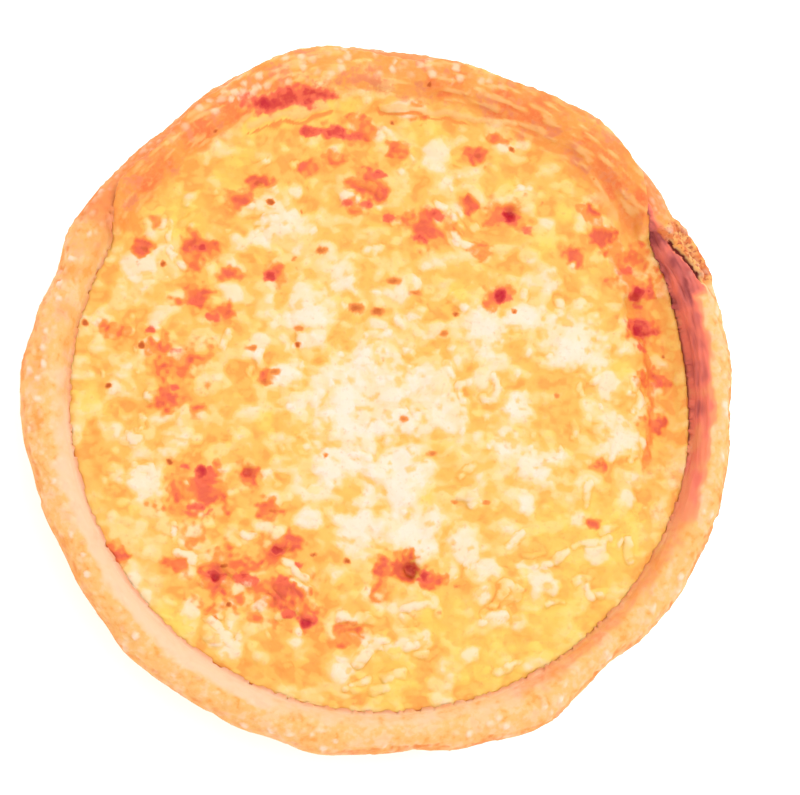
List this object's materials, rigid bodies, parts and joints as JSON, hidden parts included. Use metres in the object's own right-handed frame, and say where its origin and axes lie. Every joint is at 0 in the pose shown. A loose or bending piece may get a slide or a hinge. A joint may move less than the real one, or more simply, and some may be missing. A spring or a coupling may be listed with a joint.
{
  "type": "cheese pie",
  "caption": "Round open cheese pie: a thick-rimmed pastry case with a lumpy baked cheese filling that has browned, run over the rim on one side and shrunk from it on another.",
  "frame": {"origin": "on the surface the pie stands on, under the middle of its outline", "axes": "+Z up out of the filling; +Y is up and +X is right in the picture, which looks down on the pie"},
  "size_m": [0.1628, 0.1624, 0.036],
  "materials": {
    "pastry": null,
    "filling": null
  },
  "bodies": {
    "root": {"pastry_case": "pastry", "cheese_filling": "filling"}
  },
  "joints": []
}
